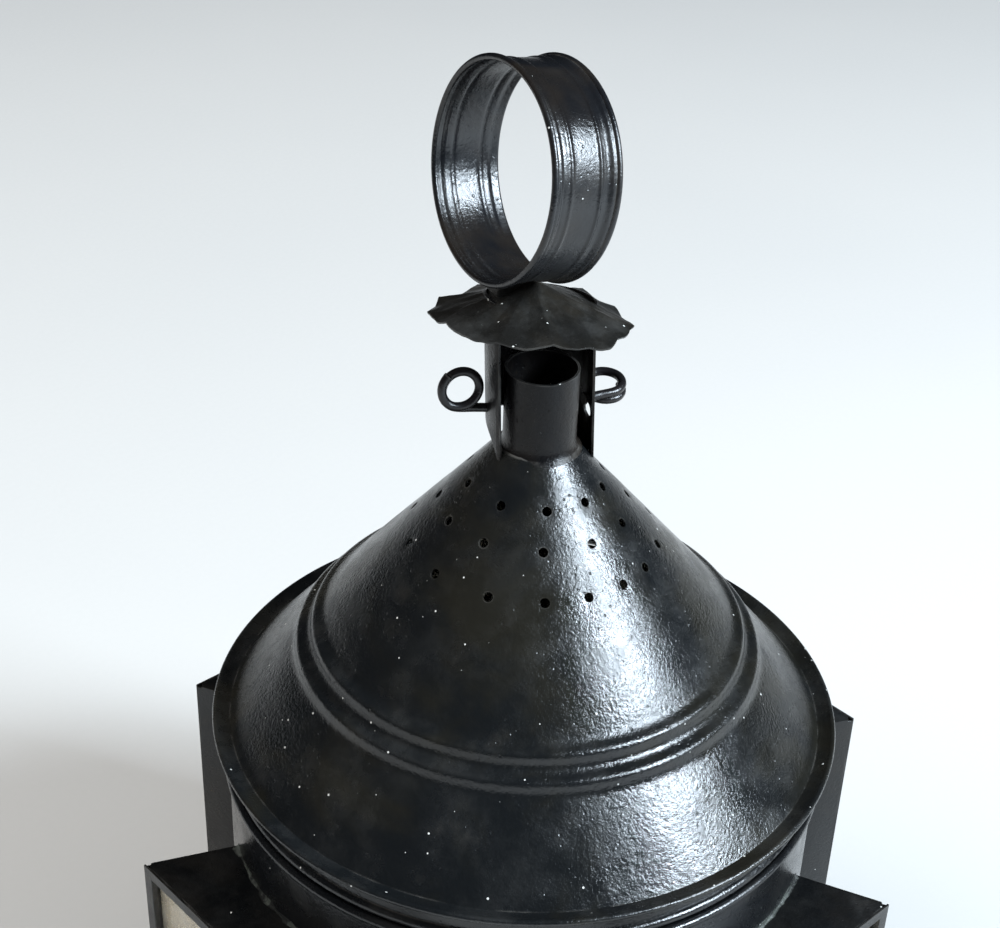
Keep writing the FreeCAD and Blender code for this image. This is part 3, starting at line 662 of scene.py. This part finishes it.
def makeRing():
    shape = ringShape
    rollAt = shape["half"] - shape["wire"]
    rollRadius = shape["radius"] - shape["wire"]

    def band(along):
        lift = 0.0
        for at, rise, width in shape["beads"]:
            near = (along / mm - at) / width
            lift += rise * mm * math.exp(-near * near)
        lift += shape["flare"] * (abs(along) / rollAt) ** 4
        return shape["waist"] - 0.1 * mm + lift

    count = shape["count"]
    reach = rollAt - 1.0 * mm
    alongs = [-reach + 2 * reach * index / count for index in range(count + 1)]
    outer = [(band(along), along) for along in alongs]
    upperRoll = arc((rollRadius, rollAt), shape["wire"], -120, 205, 14)
    inner = [(band(along) - sheetThickness, along) for along in alongs[::-2]]
    lowerRoll = [(radius, -along) for radius, along in upperRoll[::-1]]
    outline = outer + upperRoll[1:-1] + inner[1:-1] + lowerRoll[1:-1]
    ring = spinProfile("ringBand", outline, shape["steps"])
    for vertex in ring.data.vertices:
        co = vertex.co
        out = Vector((co.x, co.y, 0)).normalized()
        vertex.co = co + out * shape["wobble"] * wander(co, 30, 4.0)
        vertex.co.z += shape["edgeWobble"] * wander(co, 26, 12.0)
    low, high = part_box("ring_handle")
    middle = (low + high) / 2
    turn = Matrix.Rotation(math.radians(crown["ringLean"]), 4, leanHinge)
    turn = turn @ Matrix.Rotation(math.radians(crown["ringTurn"]), 4, "Z")
    turn = turn @ Matrix.Rotation(math.radians(90), 4, "Y")
    place(ring, Matrix.Translation(middle) @ turn)
    smooth(ring, 60)
    finishPiece(ring, paints["ring"], "roof", ("ring_handle", "ring_wires"))


makeRing()
saddle = softCopy("ringSaddle", "ring_saddle", 0.9 * mm)
smooth(saddle, 45)
finishPiece(saddle, paints["cap"], "roof", ("ring_saddle",))
print("ring made")


# pleated rain cap

capShape = {
    "level": 352.3 * mm, "shift": 3.7 * mm, "rise": 11 * mm, "peak": 0.6 * mm,
    "thickness": 0.55 * mm, "edgeBevel": 0.12 * mm, "rings": 26, "between": 12, "reach": 32.5 * mm,
    "droop": 0.5 * mm, "crumple": 0.35 * mm, "fineCrumple": 0.25 * mm, "flatMiddle": 0.14,
    # each fold: degrees round from frontAngle, reach and lift of the rim in mm
    "folds": (
        (-90, 33.3, -0.4), (-75, 31.0, -0.7), (-61, 30.2, 1.4), (-45, 31.3, 0.5), (-31, 32.0, 0.2),
        (-18, 31.4, 0.7), (-2, 32.4, -0.3), (14, 31.2, 1.0), (25, 32.2, -0.4), (36, 32.2, -1.0),
        (49, 33.2, -2.3), (60, 31.6, -1.0), (73, 32.0, -1.9), (80, 31.9, -1.3), (88, 33.1, -1.3),
        (103, 30.0, -1.4), (118, 30.6, -0.2), (134, 31.0, -1.2), (150, 32.6, 1.3), (166, 31.4, -1.2),
        (181, 32.4, 1.1), (197, 31.2, -1.3), (214, 32.6, 1.2), (232, 31.4, -1.0), (249, 32.5, 1.3),
        (259, 31.6, -0.6),
    ),
    "frontAngle": -115, "crease": 0.5 * mm,
}


def crownPlace(shift, level, *turns):
    matrix = Matrix.Translation(leanSide * shift + Vector((0, 0, level)))
    for angle, axis in turns:
        matrix = matrix @ Matrix.Rotation(math.radians(angle), 4, axis)
    return matrix


def foldAt(angle):
    # rim reach and lift at an angle: sharp ridges, rounded hollows between them
    folds = capShape["folds"]
    for index, fold in enumerate(folds):
        after = folds[(index + 1) % len(folds)]
        span = (after[0] - fold[0]) % 360
        share = ((angle - fold[0]) % 360) / span
        if share <= 1:
            if fold[2] > after[2]:
                eased = math.sin(share * math.pi / 2)
            else:
                eased = 1 - math.cos(share * math.pi / 2)
            eased = 0.6 * eased + 0.4 * share
            return (fold[1] + (after[1] - fold[1]) * eased, fold[2] + (after[2] - fold[2]) * eased)
    return (folds[0][1], folds[0][2])


def creaseAt(angle):
    # the sheet rises and sinks by turns from one fold to the next, between +1 and -1
    folds = capShape["folds"]
    for index, fold in enumerate(folds):
        span = (folds[(index + 1) % len(folds)][0] - fold[0]) % 360
        share = ((angle - fold[0]) % 360) / span
        if share <= 1:
            up = 1 if index % 2 else -1
            return up * (1 - 2 * share)
    return 0.0


def makeCap():
    shape = capShape
    rings = shape["rings"]
    line = [(shape["reach"] * (index / rings), 0) for index in range(rings + 1)]
    cap = spinProfile("rainCapSheet", line, len(shape["folds"]) * shape["between"], closed=False)
    for vertex in cap.data.vertices:
        co = vertex.co
        share = min(1.0, math.hypot(co.x, co.y) / shape["reach"])
        angle = math.degrees(math.atan2(co.y, co.x)) - shape["frontAngle"]
        reach, lift = foldAt(angle % 360 if share > 1e-4 else 0)
        grown = max(0.0, (share - shape["flatMiddle"]) / (1 - shape["flatMiddle"]))
        height = shape["rise"] * (1 - share) ** 1.06 + shape["peak"] * (1 - share) ** 6
        height += lift * mm * grown ** 1.25 - shape["droop"] * grown ** 5
        height += shape["crease"] * creaseAt(angle % 360) * math.sin(math.pi * grown ** 1.4)
        spread = reach * mm * share / max(shape["reach"] * share, 1e-9)
        crumple = shape["crumple"] * grown * wander(co, 130, 6.0)
        crumple += shape["fineCrumple"] * share * wander(co, 300, 8.0)
        vertex.co = Vector((co.x * spread, co.y * spread, height + crumple))
    closeUp(cap)
    addModifier(cap, "SOLIDIFY", thickness=shape["thickness"], offset=-1)
    addModifier(cap, "BEVEL", width=shape["edgeBevel"], segments=1, limit_method="ANGLE",
                angle_limit=math.radians(60))
    place(cap, crownPlace(shape["shift"], shape["level"], (crown["capTilt"], leanSide),
                          (crown["turn"], Vector((0, 0, 1)))))
    smooth(cap, 32)
    finishPiece(cap, paints["cap"], "roof", ("rain_cap",))


makeCap()
print("rain cap made")


# wire eyes

eyeShape = {
    "wire": 1.52 * mm, "loop": 6.3 * mm, "start": 15.5 * mm, "head": 1.5, "level": 16.1 * mm,
    "guardLevel": 300.2 * mm, "guardShift": -1.2 * mm, "guardBack": 3 * mm, "beside": 3.0 * mm,
    "shank": 20 * mm, "bendStart": 4 * mm, "angleStep": 22.5,
}
# turn round the guard, rise of the shank and twist in degrees, reach, last angle of the loop,
# and how far the loop strays outward and upward, as shares of its sideways drift
leftEye = {"turn": 170, "rise": 8, "twist": 4, "reach": 27.7 * mm, "end": 405, "stray": (0.2, 0.55)}
rightEye = {"turn": 0, "rise": 0, "twist": -78, "reach": 26 * mm, "end": 380, "stray": (0.0, 0.0)}


def makeEye(name, node, body, bend):
    # one wire: headed inside the guard, out through its bore, then round and past itself
    shape = eyeShape
    start, loop, reach = shape["start"], shape["loop"], bend["reach"]
    points = [(start, 0, 0), (start + 0.9 * mm, 0, 0), (start + 1.0 * mm, 0, 0), (start + 1.8 * mm, 0, 0),
              (shape["shank"], 0, 0), (reach - shape["bendStart"], 0, 0)]
    thick = [shape["head"]] * 2
    angle = -90
    while angle <= bend["end"]:
        turn = math.radians(angle)
        share = (angle + 90) / 360
        drift = shape["beside"] * min(1.0, max(0.0, share - 0.25) / 0.6)
        wide = loop * (1 + 0.035 * math.sin(2 * turn + bend["twist"])) + 0.25 * mm * (share > 1)
        points.append((reach + wide * math.cos(turn) + drift * bend["stray"][0], drift,
                       loop + wide * math.sin(turn) + drift * bend["stray"][1]))
        angle += shape["angleStep"]
    eye = tube(name, points, shape["wire"], thick=thick)
    matrix = crownPlace(shape["guardShift"], shape["guardLevel"], (crown["guardLean"], leanHinge),
                        (crown["turn"], Vector((0, 0, 1))))
    matrix = Matrix.Translation(-leanHinge * shape["guardBack"]) @ matrix
    matrix = matrix @ Matrix.Translation((0, 0, shape["level"]))
    for degrees, axis in ((bend["turn"], "Z"), (-bend["rise"], "Y"), (bend["twist"], "X")):
        matrix = matrix @ Matrix.Rotation(math.radians(degrees), 4, axis)
    place(eye, matrix)
    smooth(eye, 50)
    finishPiece(eye, paints["wire"], body, (node,))


makeEye("leftEyeWire", "left_eye", "left_eye_swivel", leftEye)
makeEye("rightEyeWire", "right_eye", "right_eye_swivel", rightEye)
print("wire eyes made")


# window boxes, their frames and the solder above them

boxShape = {"bevel": 0.28 * mm, "frameBevel": 0.22 * mm}
seamShape = {
    "radius": 107.0 * mm, "sink": 0.3 * mm, "under": 0.2 * mm, "toe": 0.1 * mm, "leg": 2.0 * mm,
    "halfAngle": 23.4, "least": 0.25, "steps": 60,
}


def makeSides(name, sourceNode, bevel, material):
    # modelled once from the front one, then copied to each side
    first = softCopy(name + "_front", sourceNode, bevel)
    smooth(first, 35)
    for side, piece in zip(sides, copyRound(first, name)):
        finishPiece(piece, material, "lantern_body", (sourceNode.replace("front", side),))


def makeSeam():
    # lumpy solder where each box top meets the drum
    shape = seamShape
    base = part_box("front_window_box")[1].z
    leg = shape["leg"]
    rim = shape["radius"]
    inside, below = rim - shape["sink"], base - shape["under"]
    line = [(inside, below), (rim + leg, below), (rim + leg, base + shape["toe"])]
    line += arc((rim + leg, base + leg), leg * 0.96, 265, 185, 5)
    line += [(inside, base + leg)]
    seam = spinProfile("boxSolder_front", line, shape["steps"], turn=2 * shape["halfAngle"])
    editAll(seam)
    bpy.ops.mesh.fill_holes(sides=0)
    bpy.ops.object.mode_set(mode="OBJECT")
    closeUp(seam)
    for vertex in seam.data.vertices:
        co = vertex.co
        share = 0.55 + 0.75 * wander(co, 130, 2.0) + 0.35 * wander(co, 420, 7.0)
        flat = math.hypot(co.x, co.y)
        grow = max(shape["least"], share)
        newFlat = rim + (flat - rim) * (grow if flat > rim + 0.2 * mm else 1)
        vertex.co.x *= newFlat / flat
        vertex.co.y *= newFlat / flat
        if co.z > base:
            vertex.co.z = base + (co.z - base) * grow
    place(seam, Matrix.Rotation(math.radians(-90 + shape["halfAngle"]), 4, "Z"))
    smooth(seam, 60)
    for piece in copyRound(seam, "boxSolder"):
        finishPiece(piece, solder, "lantern_body")


makeSides("windowBox", "front_window_box", boxShape["bevel"], paints["box"])
makeSides("windowFrame", "front_window_frame", boxShape["frameBevel"], paints["frame"])
makeSeam()
print("window boxes made")


# candle and wick

candleShape = {
    "steps": 96, "levels": 60, "play": 0.05 * mm, "shrink": 0.55 * mm, "socketDepth": 26 * mm,
    "runs": 9, "seed": 41, "runDepth": 0.55 * mm,
}


def makeCandle():
    # a stick with a melted hollow at its top, and runs of wax down its side
    shape = candleShape
    low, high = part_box("candle")
    radius = (high.x - low.x) / 2
    top, bottom = high.z, low.z
    wall = radius - shape["play"]
    line = [(0, bottom), (radius - 0.3 * mm, bottom), (wall, bottom + 0.4 * mm)]
    count = shape["levels"]
    for index in range(1, count):
        line.append((wall, bottom + (top - bottom - 3 * mm) * index / count))
    line += [(radius - 0.9 * mm, top - 1.6 * mm), (radius - 2.2 * mm, top - 0.4 * mm),
             (radius - 3.2 * mm, top - 0.3 * mm), (radius - 4.6 * mm, top - 1.7 * mm),
             (radius - 7 * mm, top - 2.6 * mm), (2 * mm, top - 2.9 * mm), (0, top - 2.8 * mm)]
    stick = spinProfile("waxCandle", line, shape["steps"], closed=False)
    chooser = random.Random(shape["seed"])
    runs = [(chooser.uniform(0, 360), chooser.uniform(0.25, 0.9), chooser.uniform(5, 10))
            for _ in range(shape["runs"])]
    for vertex in stick.data.vertices:
        co = vertex.co
        flat = math.hypot(co.x, co.y)
        if flat < radius * 0.6:
            continue
        angle = math.degrees(math.atan2(co.y, co.x))
        down = (top - co.z) / (top - bottom)
        shrink = shape["shrink"]
        for run, length, width in runs:
            away = (angle - run + 180) % 360 - 180
            if down < length:
                swell = 0.75 + 0.25 * math.cos(down / length * 9)
                end = min(1, (length - down) / 0.06)
                shrink -= shape["runDepth"] * swell * end * math.exp(-(away / width) ** 2)
        if co.z < bottom + shape["socketDepth"]:
            shrink = max(shrink, shape["play"])
        scale = (flat - max(0.0, shrink)) / flat
        vertex.co.x *= scale
        vertex.co.y *= scale
        if down < 0.05:
            vertex.co.z += 0.5 * mm * wander((co.x, co.y, 0), 140, 3.0) - 0.4 * mm
    closeUp(stick)
    smooth(stick, 60)
    finishPiece(stick, wax, "candle_stick", ("candle",))


def makeWick():
    low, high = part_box("wick")
    radius = (high.x - low.x) / 2 * 0.85
    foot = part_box("candle")[1].z - 6 * mm
    points = [(0, 0, foot), (0, 0, foot + 4 * mm), (0.1 * mm, 0, high.z - 6 * mm),
              (0.3 * mm, 0.1 * mm, high.z - 3.4 * mm), (1.1 * mm, 0.5 * mm, high.z - 1.4 * mm),
              (2.4 * mm, 1.0 * mm, high.z - 0.9 * mm)]
    wick = tube("wickThread", points, radius, 4)
    for vertex in wick.data.vertices:
        vertex.co += Vector((1, 1, 0)) * 0.12 * mm * wander(vertex.co, 900, 1.0)
    smooth(wick, 60)
    finishPiece(wick, charredCotton, "candle_stick", ("wick",))


makeCandle()
makeWick()
print("candle made")


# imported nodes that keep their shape

for node in ("roof_collar", "drum_shell", "drum_rim_wire", "foot_ring"):
    repaint(node, paints["drum"])
for node in ("base_plate", "pane_clips", "drip_pan", "candle_socket"):
    repaint(node, tin)
for side in sides:
    repaint(side + "_pane", agedGlass)
print("packed nodes painted")


# floor, light and camera

def floorFinish():
    material, w, body, where = blankFinish("paleFloor")
    cloud = w.noise(where, 1.6, 3, 0.5)
    fine = w.noise(where, 260, 2, 0.5)
    color = w.mix(w.ramp(cloud, 0.3, 0.7), (0.44, 0.435, 0.42, 1), (0.425, 0.422, 0.41, 1))
    w.feed(body, "Base_Color", color)
    w.feed(body, "Roughness", w.ramp(fine, 0.3, 0.7, 0.78, 0.9))
    return material


putDown()
bpy.ops.mesh.primitive_plane_add(size=14)
floor = bpy.context.object
floor.name = floor.data.name = "paleFloorPlane"
floor.data.materials.append(floorFinish())

# each light: degrees round from the camera's side (right is positive), height angle,
# distance, size, watts and colour
lamps = {
    "windowLight": (69, 34, 2.6, (0.64, 1.0), 200, (0.77, 0.89, 1.0)),
    "roomFill": (-75, 38, 2.4, (2.2, 2.2), 62, (1.0, 0.97, 0.93)),
    "ceilingGlow": (20, 82, 3.2, (4.0, 4.0), 24, (1.0, 0.98, 0.95)),
}
aim = Vector((0, 0, 0.26))
cameraSide = -135
for name, (around, above, away, size, watts, colour) in lamps.items():
    data = bpy.data.lights.new(name, "AREA")
    data.shape = "RECTANGLE"
    data.size, data.size_y = size
    data.energy = watts
    data.color = colour
    lamp = bpy.data.objects.new(name, data)
    bpy.context.scene.collection.objects.link(lamp)
    turn, rise = math.radians(cameraSide + around), math.radians(above)
    toward = Vector((math.cos(rise) * math.cos(turn), math.cos(rise) * math.sin(turn), math.sin(rise)))
    spot = aim + away * toward
    lamp.location = spot
    lamp.rotation_euler = (aim - spot).to_track_quat("-Z", "Y").to_euler()
    lamp.visible_glossy = name == "windowLight"  # only the window is mirrored

world = bpy.data.worlds.new("room")
world.use_nodes = True
backdrop = world.node_tree.nodes["Background"].inputs
backdrop["Color"].default_value = (0.80, 0.84, 0.90, 1)
backdrop["Strength"].default_value = 0.62
world.cycles_visibility.glossy = False
bpy.context.scene.world = world
bpy.context.scene.view_settings.view_transform = "Standard"

view = {
    "location": (-0.37007, -0.37007, 0.62014), "rotation": (58.183, -1.792, -42.588),
    "lens": 66.25, "sensor": 36, "nearest": 0.01,
}
cameraData = bpy.data.cameras.new("camera")
cameraData.lens = view["lens"]
cameraData.sensor_width = view["sensor"]
cameraData.clip_start = view["nearest"]
cameraObject = bpy.data.objects.new("camera", cameraData)
cameraObject.location = view["location"]
cameraObject.rotation_euler = [math.radians(angle) for angle in view["rotation"]]
bpy.context.scene.collection.objects.link(cameraObject)
bpy.context.scene.camera = cameraObject
print("floor, lights and camera set")

putDown()
